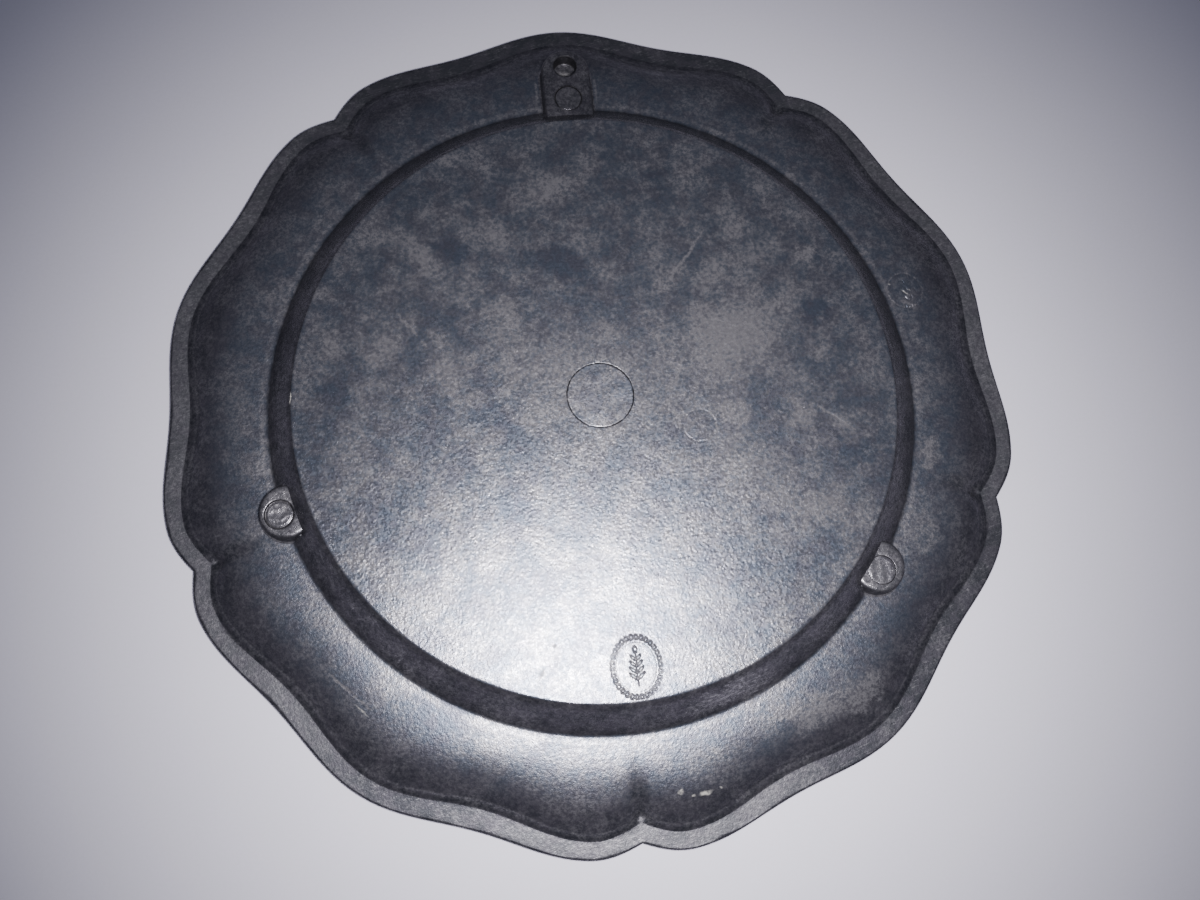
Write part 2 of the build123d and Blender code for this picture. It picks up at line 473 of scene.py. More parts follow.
class Section:
    """Collects the plate's rings from the middle of the back round to the front."""

    def __init__(self):
        share = np.arange(LOBE_COLUMNS) / LOBE_COLUMNS
        closer_at_cusps = share - 0.5 * np.sin(TAU * share) / TAU
        cusps = TOP_CREST + 360 / LOBES * (np.arange(LOBES) - 0.5)
        self.angles = (cusps[:, None] + 360 / LOBES * closer_at_cusps).ravel()
        self.around = np.radians(self.angles)
        self.cosine = np.cos(self.around)
        self.sine = np.sin(self.around)
        self.rings = []

    def add(self, radius, height, centre_y=0.0):
        """Adds one ring. Radius and height are numbers or one value for each column."""
        self.rings.append(points_at(radius * self.cosine, centre_y + radius * self.sine, height))

    def add_disc_ring(self, radius, drop=0.0):
        """Adds a ring on the disc, whose centre moves from the plug's to the plate's."""
        middle = np.mean(radius)
        centre_y = PLUG_Y * float(1 - smoothstep(PLUG_RADIUS, 2.5 * PLUG_RADIUS, middle))
        x = radius * self.cosine
        y = centre_y + radius * self.sine
        self.rings.append(points_at(x, y, disc_height(x, y) - drop))


def add_recess(section):
    """The shallow recess that takes the plug, with a soft, slightly ragged lip."""
    ragged = 0.00004 * np.sin(17 * section.around + 1) + 0.00003 * np.sin(41 * section.around)
    floor = DISC_BACK - PLUG_DEPTH
    section.add(PLUG_RADIUS - 0.0006, floor, PLUG_Y)
    section.add(PLUG_RADIUS - 0.0001, floor, PLUG_Y)
    section.add(PLUG_RADIUS + ragged, floor + 0.0001, PLUG_Y)
    section.add(PLUG_RADIUS + ragged, DISC_BACK - 0.00018, PLUG_Y)
    section.add_disc_ring(PLUG_RADIUS + 0.00004 + ragged, 0.00001)
    section.add_disc_ring(PLUG_RADIUS + 0.00020)


def add_disc(section):
    """The disc, out to its rounded edge, with closer rings where the oval mark is."""
    inner = np.arange(PLUG_RADIUS + 0.0010, 0.0630, 0.0020)
    outer = np.arange(0.0630, DISC_RADIUS - 0.0010, 0.0010)
    for radius in (*inner, *outer, DISC_RADIUS - 0.0007):
        section.add_disc_ring(radius)
    for inset, drop in ((0.00040, 0.00002), (0.00016, 0.00009), (-0.00004, 0.00026)):
        section.add(DISC_RADIUS - inset, DISC_BACK - 0.00006 - drop)


def add_wall(section):
    """The sloped wall, not quite even, and its foot."""
    for share in (0.07, 0.22, 0.42, 0.62, 0.82, 0.94):
        waves = np.sin(7 * section.around + 9 * share) + np.sin(13 * section.around - 5 * share)
        radius = DISC_RADIUS + (WALL_FOOT_RADIUS - DISC_RADIUS) * share + 0.00003 * waves
        section.add(radius, DISC_BACK + (BORDER_TOP - DISC_BACK) * share)
    section.add(WALL_FOOT_RADIUS - 0.00012, BORDER_TOP + 0.00016)
    section.add(WALL_FOOT_RADIUS + 0.00010, BORDER_TOP + 0.00003)


def add_border(section):
    """The curved border between the wall and the ledge."""
    for share in np.linspace(0, 1, 28) ** 0.92:
        radius = border_radius(share, section.angles)
        height = border_height(share, section.angles)
        wobble = unevenness(radius * section.cosine, radius * section.sine, 0.012, 21)
        section.add(radius, height + 0.00016 * share * (1 - share) * wobble)


def add_rim(section):
    """The narrow ledge, the step down to the band, and the band out to its rounded edge."""
    angles = section.angles
    rise = ledge_height(angles) - RIM_BACK
    filed_back = RIM_BACK - 0.00004
    step_foot = BAND_WIDTH - 0.0002
    profile = ((0.2, 0.90), (0.42, 0.74), (0.55, 0.60), (0.72, 0.32), (0.85, 0.10), (0.94, 0.02), (1, 0))
    for share, level in profile:
        inset = BORDER_INSET + (step_foot - BORDER_INSET) * share
        section.add(inset_radius(angles, inset), filed_back + rise * level)
    for inset in (0.0046, 0.0038, 0.0030, 0.0022, 0.0014, EDGE_ROUND + 0.0002):
        radius = inset_radius(angles, inset)
        uneven = unevenness(radius * section.cosine, radius * section.sine, 0.006, 31)
        worn_down = 0.00012 * (1 - inset / BAND_WIDTH)
        section.add(radius, filed_back - worn_down + 0.00003 * uneven)


def add_edge(section):
    """The rim's edge, rounded at the back and the front."""
    back = ((0, 25, 50, 70, 90), RIM_BACK - 0.00016, -EDGE_ROUND)
    front = ((90, 60, 30, 0), 0, EDGE_ROUND)
    for turns, level, away in (back, front):
        for turn in np.radians(turns):
            inset = EDGE_ROUND * (1 - math.sin(turn))
            section.add(inset_radius(section.angles, inset), level + away * (1 - math.cos(turn)))


def add_front(section):
    """The front: a reeded rim, the border's underside, the well's wall and its floor."""
    angles = section.angles
    for middle in (0.0018, 0.0034, 0.0050):
        for inset, depth in ((-0.0006, 0), (-0.0003, 0.8), (0.0003, 0.8), (0.0006, 0)):
            section.add(inset_radius(angles, middle + inset), 0.00045 * depth)
    mouth = border_radius(1, angles)
    for outwards, rise in ((0.0002, 0), (0, 0.0002), (0, 0.0014)):
        section.add(mouth + outwards, rise)
    for share in np.linspace(1, 0, 12):
        height = LEDGE_BACK - METAL + (BORDER_TOP - LEDGE_BACK) * (1 - share**BORDER_CURVE)
        section.add(border_radius(share, angles), height)
    wall_angle = math.atan(WALL_SLOPE)
    inwards = METAL * (1 - math.cos(wall_angle)) / math.sin(wall_angle)
    foot = WALL_FOOT_RADIUS - inwards
    top = DISC_RADIUS - inwards
    floor = DISC_BACK - METAL
    for share in (0, 0.3, 0.6):
        section.add(foot + (top - foot) * share, BORDER_TOP - METAL + WALL_SLOPE * (foot - top) * share)
    corner_radius = top - FRONT_CORNER_RADIUS * math.tan(wall_angle / 2)
    for turn in np.linspace(wall_angle, 0, 6):
        radius = corner_radius + FRONT_CORNER_RADIUS * math.sin(turn)
        section.add(radius, floor - FRONT_CORNER_RADIUS * (1 - math.cos(turn)))
    for radius in (0.070, 0.045, 0.020):
        section.add(radius, floor)


def plate_piece(material):
    """The casting, with its two struck marks cut into a finer stretch of its mesh."""
    section = Section()
    for add in (add_recess, add_disc, add_wall, add_border, add_rim, add_edge, add_front):
        add(section)
    shell = Shell()
    shell.strip(section.rings)
    shell.cap(section.rings[0])
    shell.cap(section.rings[-1])
    plate = shell.piece("plate_visual")
    strike_marks(plate)
    finish_piece(plate, "pewter_casting", material, "plate_body")


# ---- the struck marks


def line(distance, width):
    """1 on a line, fading out over width to each side."""
    return np.exp(-((distance / width) ** 2))


def oval_reach(x, y):
    """Distance from the oval mark's middle as a share of its half size, and the direction."""
    across = (x - OVAL_MARK[0]) / OVAL_HALF_SIZE[0]
    along = (y - OVAL_MARK[1]) / OVAL_HALF_SIZE[1]
    return np.hypot(across, along), np.arctan2(along, across)


def oval_relief(x, y):
    """Depth, 0 to 1, of the oval mark: a ring of beads round a plain leafy sprig."""
    reach, around = oval_reach(x, y)
    phase = (around * 30 / TAU + 0.5) % 1 - 0.5
    bead_gap = np.hypot((reach - 0.90) / 0.085, phase / 0.42)
    bead = line(bead_gap - 0.85, 0.30) * (bead_gap < 1.9)
    inner_line = 0.25 * line(reach - 0.76, 0.02)
    u = (x - OVAL_MARK[0]) / MM
    v = (y - OVAL_MARK[1]) / MM
    drawing = line(u - 0.12 * np.sin(v), 0.13) * (np.abs(v + 0.4) < 4.4)
    for level in (-2.9, -1.3, 0.3, 1.9):
        for side in (-1, 1):
            out = side * u - 0.15
            up = v - level - 0.75 * out
            half_length = 0.88 - 0.06 * (level + 2.9)
            blade = np.hypot(out / half_length - 1, up / 0.42)
            drawing = np.maximum(drawing, line(blade - 1, 0.24))
    tip = line(np.hypot(u / 0.5, (v - 4.3) / 0.8) - 1, 0.24)
    drawing = np.maximum(drawing, tip) * (reach < 0.74)
    uneven = 0.8 + 0.2 * np.sin(2 * around - 0.6)
    return np.maximum.reduce([bead * uneven, inner_line, drawing])


def round_relief(x, y):
    """Depth, 0 to 1, of the round mark: fine beads round a plain rosette, struck unevenly."""
    u = (x - ROUND_MARK[0]) / ROUND_MARK_SIZE
    v = (y - ROUND_MARK[1]) / ROUND_MARK_SIZE
    reach = np.hypot(u, v)
    around = np.arctan2(v, u)
    phase = (around * 18 / TAU + 0.5) % 1 - 0.5
    bead = line(np.hypot((reach - 0.88) / 0.09, phase / 0.4) - 0.8, 0.35)
    petals = 0.32 + 0.24 * np.abs(np.cos(3 * around + 0.4))
    rosette = line(reach - petals, 0.05)
    eye = line(reach - 0.12, 0.05)
    struck = 0.35 + 0.65 * smoothstep(-0.6, 0.8, -0.8 * u - 0.6 * v)
    return 1.4 * np.maximum.reduce([0.75 * bead, rosette, eye]) * struck


def strike_marks(plate):
    """Refines the mesh under each mark and sinks the relief into it."""
    surface = bmesh.new()
    surface.from_mesh(plate.data)
    refined = set()
    for face in surface.faces:
        middle = face.calc_center_median()
        if face.normal.z < 0.3 or middle.xy.length > 0.103:
            continue
        in_oval = oval_reach(middle.x, middle.y)[0] < 1.08 and middle.z > DISC_BACK - 0.0003
        from_round = math.dist(middle.xy, ROUND_MARK)
        in_round = from_round < 1.1 * ROUND_MARK_SIZE and middle.z < BORDER_TOP
        if in_oval or in_round:
            refined.update(face.edges)
    bmesh.ops.subdivide_edges(surface, edges=list(refined), cuts=MARK_CUTS, use_grid_fill=True)
    for vertex in surface.verts:
        x, y, z = vertex.co
        if z < METAL + 0.002 or vertex.normal.z < 0.2:
            continue
        on_disc = math.hypot(x, y) < DISC_RADIUS - 0.00065 and z > DISC_BACK - 0.0003
        if on_disc and oval_reach(x, y)[0] < 1.05:
            vertex.co.z = disc_height(x, y) - MARK_DEPTH * oval_relief(x, y)
        elif math.dist((x, y), ROUND_MARK) < 1.05 * ROUND_MARK_SIZE and z < BORDER_TOP - 0.00005:
            vertex.co.z = z - MARK_DEPTH * round_relief(x, y)
    surface.to_mesh(plate.data)
    surface.free()
    plate.data.shade_smooth()


# ---- plug and pins


def button(name, x, y, bottom, radius_at, height_at, columns=144, rings=26):
    """A round piece whose edge and top follow functions of the angle and the place."""
    around = np.arange(columns) / columns * TAU
    edge = radius_at(around)
    layers = []
    for share in np.linspace(0.04, 1, rings) ** 0.8:
        px = edge * share * np.cos(around)
        py = edge * share * np.sin(around)
        layers.append(points_at(x + px, y + py, height_at(px, py, share)))
    rim = layers[-1]
    for share in (0.4, 1):
        lower = rim.copy()
        lower[:, 2] += (bottom - rim[:, 2]) * share
        layers.append(lower)
    shell = Shell()
    shell.strip(layers)
    shell.cap(layers[0])
    shell.cap(layers[-1])
    return shell.piece(name)


def plug_piece(material):
    """The plug in the casting gate: ragged and scraped nearly flush."""

    def radius_at(around):
        thick = np.exp(-((((np.degrees(around) - 52 + 180) % 360 - 180) / 16) ** 2))
        ragged = 0.00005 * np.sin(11 * around + 2) + 0.00005 * np.sin(29 * around)
        return PLUG_RADIUS - 0.00016 - 0.00020 * thick - ragged

    def height_at(px, py, share):
        height = DISC_BACK - 0.00007 + 0.00004 * unevenness(px, py, 0.0035, 41)
        return np.minimum(height, DISC_BACK) - 0.000015 * smoothstep(0.98, 1, share)

    bottom = DISC_BACK - PLUG_DEPTH
    plug = button("plug_visual", 0, PLUG_Y, bottom, radius_at, height_at, 192, 34)
    finish_piece(plug, "pewter_plug", material, "centre_plug")


def pin_piece(node, material):
    """A pin end in its groove, with a hollow face and a crooked ridge across it."""
    place, radius, (groove, dish, edge_drop, ridge, ridge_turn, seed) = PINS[node]
    ridge_x = math.cos(math.radians(ridge_turn))
    ridge_y = math.sin(math.radians(ridge_turn))

    def radius_at(around):
        ragged = 0.10 * np.sin(5 * around + seed) + 0.06 * np.sin(13 * around + 2 * seed)
        return radius - groove * (1 + ragged)

    def height_at(px, py, share):
        along = (ridge_x * px + ridge_y * py) / radius
        across = (ridge_y * px - ridge_x * py) / radius
        crest = line(across - 0.28 + 0.08 * np.sin(5 * along + seed), 0.15)
        uneven = 0.00004 * unevenness(px, py, 0.0016, seed)
        height = PAD_TOP - 0.00018 + uneven - dish * (1 - share**2)
        return height + ridge * crest * (1 - share**4) - edge_drop * smoothstep(0.84, 1, share)

    piece = button(node + "_visual", *place, PAD_TOP - PIN_RECESS, radius_at, height_at)
    finish_piece(piece, "pewter_pin", material, node)


# ---- lug and pads


def hole_rings(centre, profile, count=96):
    """Rings down a round hole, from a profile of radius and depth."""
    around = np.arange(count) / count * TAU
    x = np.cos(around)
    y = np.sin(around)
    rings = []
    for radius, depth in profile:
        rings.append(points_at(centre[0] + radius * x, centre[1] + radius * y, PAD_TOP - depth))
    return rings


def pin_hole(pin, lip):
    """Centre of a pin's hole, and radius and depth from its bottom to a lip of a given width."""
    place, radius, _ = PINS[pin]
    profile = [
        (0.4 * radius, PIN_RECESS),
        (radius - 0.00005, PIN_RECESS),
        (radius, PIN_RECESS - 0.0001),
    ]
    for out, down in ((0, 0.9), (0.15, 0.4), (0.5, 0.1), (1, 0)):
        profile.append((radius + out * lip, TOP_GAP + down * lip))
    return place, profile


def nail_hole():
    """Centre of the nail hole, and radius and depth from its bowl-shaped bottom to its lip."""
    ball = (NAIL_HOLE_RADIUS**2 + NAIL_HOLE_DOME**2) / (2 * NAIL_HOLE_DOME)
    bottom = NAIL_HOLE_DEPTH + NAIL_HOLE_DOME
    profile = []
    for share in (0.08, 0.3, 0.5, 0.7, 0.85, 0.96):
        radius = NAIL_HOLE_RADIUS * share
        profile.append((radius, bottom - ball + math.sqrt(ball**2 - radius**2)))
    side = ((-0.00002, NAIL_HOLE_DEPTH), (0, 0.0028), (0, 0.0016), (0, 0.0004))
    for out, depth in (*side, (0.00004, 0.00014), (0.00014, TOP_GAP)):
        profile.append((NAIL_HOLE_RADIUS + out, depth))
    return (LUG_X, NAIL_HOLE_Y), profile


def boss_top(x, y):
    """Height of a boss's top, not quite flat."""
    return PAD_TOP - TOP_GAP - 0.00002 * unevenness(x, y, 0.003, 51)


def boss_side(outline, outward):
    """Rings over a boss's rounded edge, down its side and out along its fillet.

    Outward is the direction out of each point, zero where the boss runs into the wall.
    """
    rings = []
    top_edge = outline - outward * BOSS_TOP_INSET
    for turn in np.radians((0, 15, 35, 55, 70, 80)):
        spot = top_edge - outward * BOSS_ROUND * (1 - math.sin(turn))
        height = boss_top(*spot.T) - BOSS_ROUND * (1 - math.cos(turn))
        rings.append(points_at(*spot.T, height))
    start = rings[-1][:, 2]
    foot = np.minimum(back_height(*outline.T), start - 0.0003)
    spread = (np.maximum(start - foot, 0) * BOSS_SLOPE)[:, None]
    foot = np.minimum(back_height(*(top_edge + outward * (spread + FILLET)).T), start - 0.0003)
    for share in (0.35, 0.7, 1.0):
        spot = top_edge + outward * spread * share
        rings.append(points_at(*spot.T, start + (np.minimum(foot + FILLET, start) - start) * share))
    for turn in np.radians((30, 60, 85)):
        spot = top_edge + outward * (spread + FILLET * (1 - math.cos(turn)))
        height = np.minimum(foot + FILLET * (1 - math.sin(turn)), start)
        rings.append(points_at(*spot.T, height))
    foot_spot = top_edge + outward * (spread + FILLET)
    rings.append(points_at(*foot_spot.T, foot - 0.0003))
    return rings


def boss_piece(name, outline, outward, holes, material):
    """A boss with round holes in its top. Each hole is its centre and its profile."""
    shell = Shell()
    side = boss_side(outline, outward)
    shell.strip(side)
    filled = []
    for centre, profile in holes:
        rings = hole_rings(centre, profile)
        rings[-1][:, 2] = boss_top(*rings[-1][:, :2].T)
        shell.strip(rings)
        shell.cap(rings[0])
        filled.append((centre, profile[-1][0], rings[-1]))
    shell.fill(side[0], filled, boss_top)
    edge = side[-1][:, :2]
    middle = edge.mean(axis=0)
    bottom = [side[-1]]
    for share in (0.96, 0.7, 0.4, 0.1):
        spot = middle + (edge - middle) * share
        height = np.minimum(back_height(*spot.T), PAD_TOP) - EMBED
        bottom.append(points_at(*spot.T, height))
    shell.strip(bottom)
    shell.cap(bottom[-1])
    boss = shell.piece(name + "_visual")
    finish_piece(boss, "pewter_boss", material, name)


def lug_piece(material):
    """The hanging lug: straight sides and a round end."""
    up = np.linspace(BOSS_END, LUG_ARC_Y, 48, endpoint=False)
    turn = np.linspace(0, math.pi, 73)
    cosine = np.cos(turn)
    sine = np.sin(turn)
    across = np.linspace(-LUG_HALF_WIDTH, LUG_HALF_WIDTH, 30)[1:-1]
    # Places round the lug, and the directions out of it there
    stretches = (
        points_at(LUG_X + LUG_HALF_WIDTH, up, 1, 0),
        points_at(LUG_X + LUG_HALF_WIDTH * cosine, LUG_ARC_Y + LUG_HALF_WIDTH * sine, cosine, sine),
        points_at(LUG_X - LUG_HALF_WIDTH, up[::-1], -1, 0),
        points_at(LUG_X + across, BOSS_END, 0, 0),
    )
    edge = np.concatenate(stretches)
    holes = [nail_hole(), pin_hole("hanger_pin", 0.00005)]
    boss_piece("hanger_lug", edge[:, :2], edge[:, 2:], holes, material)


def pad_piece(name, material):
    """A round pad that the wall cuts to a D."""
    centre_radius, angle, lip = PADS[name]
    turn = math.radians(angle)
    cosine = (BOSS_END**2 - centre_radius**2 - PAD_RADIUS**2) / (2 * centre_radius * PAD_RADIUS)
    half_arc = math.acos(cosine)
    half_chord = math.asin(PAD_RADIUS * math.sin(half_arc) / BOSS_END)
    arc = turn + np.linspace(-half_arc, half_arc, 150)
    chord = turn + np.linspace(half_chord, -half_chord, 30)[1:-1]
    centre = np.array(at_polar(centre_radius, angle))
    arc_out = points_at(np.cos(arc), np.sin(arc))
    chord_points = BOSS_END * points_at(np.cos(chord), np.sin(chord))
    outline = np.concatenate([centre + PAD_RADIUS * arc_out, chord_points])
    outward = np.concatenate([arc_out, np.zeros_like(chord_points)])
    boss_piece(name, outline, outward, [pin_hole(name + "_pin", lip)], material)


# ---- materials


class Value:
    """A number worked out by nodes. Its sums, differences and products add nodes."""

    def __init__(self, nodes, socket):
        self.nodes = nodes
        self.socket = socket

    def __add__(self, other):
        return self.nodes.math("ADD", self, other)

    def __radd__(self, other):
        return self.nodes.math("ADD", other, self)

    def __sub__(self, other):
        return self.nodes.math("SUBTRACT", self, other)

    def __rsub__(self, other):
        return self.nodes.math("SUBTRACT", other, self)

    def __mul__(self, other):
        return self.nodes.math("MULTIPLY", self, other)

    def __abs__(self):
        return self.nodes.math("ABSOLUTE", self)


class Nodes:
    """Short ways to add and join the nodes of one material. Places are in millimetres."""

    def __init__(self, name):
        self.material = bpy.data.materials.new(name)
        self.material.use_nodes = True
        self.tree = self.material.node_tree
        self.surface = self.tree.nodes["Principled BSDF"]
        coordinates = self.add("TexCoord", {}).outputs["Object"]
        self.place = self.vector("MULTIPLY", coordinates, (1 / MM,) * 3)
        self.flat = self.vector("MULTIPLY", self.place, (1, 1, 0))
        self.radius = self.length(self.flat)
        _, self.y, self.z = self.parts(self.place)
        self.normal_z = self.parts(self.add("NewGeometry", {}).outputs["Normal"])[2]

    def add(self, kind, inputs, **settings):
        """Adds a node, sets it and joins its inputs."""
        node = self.tree.nodes.new("ShaderNode" + kind)
        for key, value in settings.items():
            setattr(node, key, value)
        for key, value in inputs.items():
            self.join(node.inputs[key], value)
        return node

    def join(self, socket, value):
        """Links a socket to a value or another socket, or gives it a constant."""
        source = value.socket if isinstance(value, Value) else value
        if isinstance(source, bpy.types.NodeSocket):
            self.tree.links.new(source, socket)
        else:
            socket.default_value = source

    def math(self, operation, first, second=0.0, clamp=False):
        node = self.add("Math", {0: first, 1: second}, operation=operation, use_clamp=clamp)
        return Value(self, node.outputs[0])

    def most(self, first, second):
        """The larger of two values."""
        return self.math("MAXIMUM", first, second)

    def vector(self, operation, first, second):
        return self.add("VectorMath", {0: first, 1: second}, operation=operation).outputs[0]

    def length(self, vector):
        node = self.add("VectorMath", {0: vector}, operation="LENGTH")
        return Value(self, node.outputs["Value"])

    def parts(self, vector):
        """The three numbers of a vector."""
        return [Value(self, part) for part in self.add("SeparateXYZ", {0: vector}).outputs]

    def rise(self, value, start, end, low=0.0, high=1.0):
        """Low until start, then a smooth rise to high at end."""
        inputs = {"Value": value, "From Min": start, "From Max": end, "To Min": low, "To Max": high}
        node = self.add("MapRange", inputs, interpolation_type="SMOOTHSTEP")
        return Value(self, node.outputs["Result"])

    def noise_node(self, size, detail=2.0, roughness=0.5, place=None, seed=0.0, twist=0.0):
        inputs = {
            "Vector": self.vector("ADD", place or self.place, (17.3 * seed, -9.1 * seed, 5.7 * seed)),
            "Scale": 1 / size,
            "Detail": detail,
            "Roughness": roughness,
            "Distortion": twist,
        }
        return self.add("TexNoise", inputs)

    def noise(self, *look, **more):
        """Noise, 0 to 1, with grains about as large as the first number."""
        return Value(self, self.noise_node(*look, **more).outputs[0])

    def spots(self, size, reach, share, seed):
        """Scattered small spots: 1 inside, on a share of the cells, 0 elsewhere."""
        place = self.vector("ADD", self.place, (7.7 * seed, 3.9 * seed, 0))
        cells = self.add("TexVoronoi", {"Vector": place, "Scale": 1 / size}).outputs
        kind = self.add("SeparateColor", {0: cells["Color"]}).outputs[0]
        inside = self.rise(cells["Distance"], reach, 0.4 * reach)
        return inside * self.rise(kind, 1 - share, 1 - 0.9 * share)

    def turned(self, x, y, half_length, half_width, turn, place=None):
        """Places as seen from (x, y), turned, with the two half sizes as units."""
        inputs = {
            "Vector": place or self.flat,
            "Location": (x, y, 0),
            "Rotation": (0, 0, math.radians(turn)),
            "Scale": (half_length, half_width, 1),
        }
        return self.add("Mapping", inputs, vector_type="TEXTURE").outputs[0]

    def patch(self, x, y, half_length, half_width=None, turn=0.0, place=None, core=0.2):
        """1 in a soft patch round (x, y), 0 outside it."""
        local = self.turned(x, y, half_length, half_width or half_length, turn, place)
        return self.rise(self.length(local), 1.15, core)

    def add_patches(self, value, table, place, scale):
        """A value plus each soft patch of a table, times its strength and the scale."""
        for *shape, strength in table:
            value = value + self.patch(*shape, place) * (scale * strength)
        return value

    def most_spots(self, value, table, place, share=None):
        """The largest of a value and each spot of a table, times its strength and the share."""
        for *shape, strength in table:
            spot = self.patch(*shape, place, 0.3)
            value = self.most(value, (spot * share if share else spot) * strength)
        return value

    def ring(self, x, y, radius, width):
        """1 on a thin ring, 0 away from it."""
        distance = self.length(self.vector("SUBTRACT", self.flat, (x, y, 0)))
        return self.rise(abs(distance - radius), width, 0)

    def scratches(self, turn, size, stretch_by, density, seed):
        """Thin straight scratches in one direction."""
        fine = self.noise(size, 3, 0.6, self.turned(0, 0, stretch_by, 1, turn, self.flat), seed)
        return self.rise(fine, 1 - density, 1 - density + 0.06)

    def blend(self, share, first, second):
        """A colour between two colours."""
        node = self.add("Mix", {}, data_type="RGBA")
        self.join(node.inputs[0], share)
        self.join(node.inputs[6], first)
        self.join(node.inputs[7], second)
        return node.outputs[2]

    def relief(self, height):
        """Turns a height in millimetres into a bump on the surface."""
        bump = self.add("Bump", {"Strength": 1.0, "Distance": MM, "Height": height})
        self.join(self.surface.inputs["Normal"], bump.outputs[0])


def pewter_nodes(name):
    """Old cast pewter: how pale its wear makes it, from 0 to 1, and its relief in millimetres."""
    nodes = Nodes(name)
    clouds = nodes.noise(11, 5, 0.6, seed=1)
    mottle = nodes.noise(3.0, 4, 0.65, seed=2, twist=0.4)
    grain = nodes.noise(0.8, 3, 0.7, seed=3)
    pits = nodes.spots(2.6, 0.10, 0.30, 5)
    nicks = nodes.spots(2.9, 0.09, 0.35, 9)
    streaks = nodes.scratches(47, 0.55, 26, 0.38, 6)
    paleness = nodes.rise(clouds, 0.42, 0.66, 0, 0.50) + nodes.rise(mottle, 0.46, 0.64, 0, 0.26)
    paleness = paleness + streaks * 0.12 + nicks * 0.45
    height = mottle * 0.022 + grain * 0.105 + pits * -0.02 + streaks * -0.005
    return nodes, paleness, height


def finish_pewter(nodes, paleness, height, tint, darkening, roughness, chalk_and_glow=0.0, metallic=METALLIC):
    """Joins a pewter material's colour, polish and relief to its surface."""
    speckle = nodes.rise(nodes.noise(1.1, 5, 0.85, seed=15), 0.42, 0.60)
    hue = nodes.rise(nodes.noise(5, 3, 0.6, seed=16), 0.42, 0.60, 0, 0.45)
    pale_share = paleness * (speckle * 1.15 + 0.35)
    pale_share = nodes.math("ADD", pale_share, speckle * 0.16, clamp=True)
    metal = nodes.blend(pale_share, nodes.blend(hue, tint, PLUM), PALE_PEWTER)
    coated = nodes.blend(chalk_and_glow, nodes.blend(darkening, metal, DIRT_AND_SHADE), CHALK_AND_GLOW)
    nodes.join(nodes.surface.inputs["Base Color"], coated)
    nodes.join(nodes.surface.inputs["Metallic"], metallic)
    grainy = nodes.rise(nodes.noise(0.8, 4, 0.8, seed=18), 0.40, 0.60, -0.065, 0.065)
    rough = roughness + grainy + pale_share * -0.05 + darkening * 0.2
    nodes.join(nodes.surface.inputs["Roughness"], rough)
    nodes.relief(height)
    return nodes.material


def plug_seam(nodes):
    """The dirt in and beside the seam round the plug."""
    uneven = nodes.rise(nodes.noise(1.5, 3, 0.6, seed=23), 0.35, 0.6, 0.2, 1.0)
    return nodes.ring(0, -0.8, 8.95, 0.36) * uneven


def crease(nodes):
    """1 in the dirty creases that run in from the cusps, 0 elsewhere."""
    x, y, _ = nodes.parts(nodes.flat)
    angle = nodes.math("ARCTAN2", y, x)
    first_cusp = math.radians(TOP_CREST + 180 / LOBES)
    turned = angle * LOBES - LOBES * first_cusp
    near = nodes.rise(nodes.math("COSINE", turned), 0.988, 0.9995)
    return near * nodes.rise(nodes.radius, 95, 104)


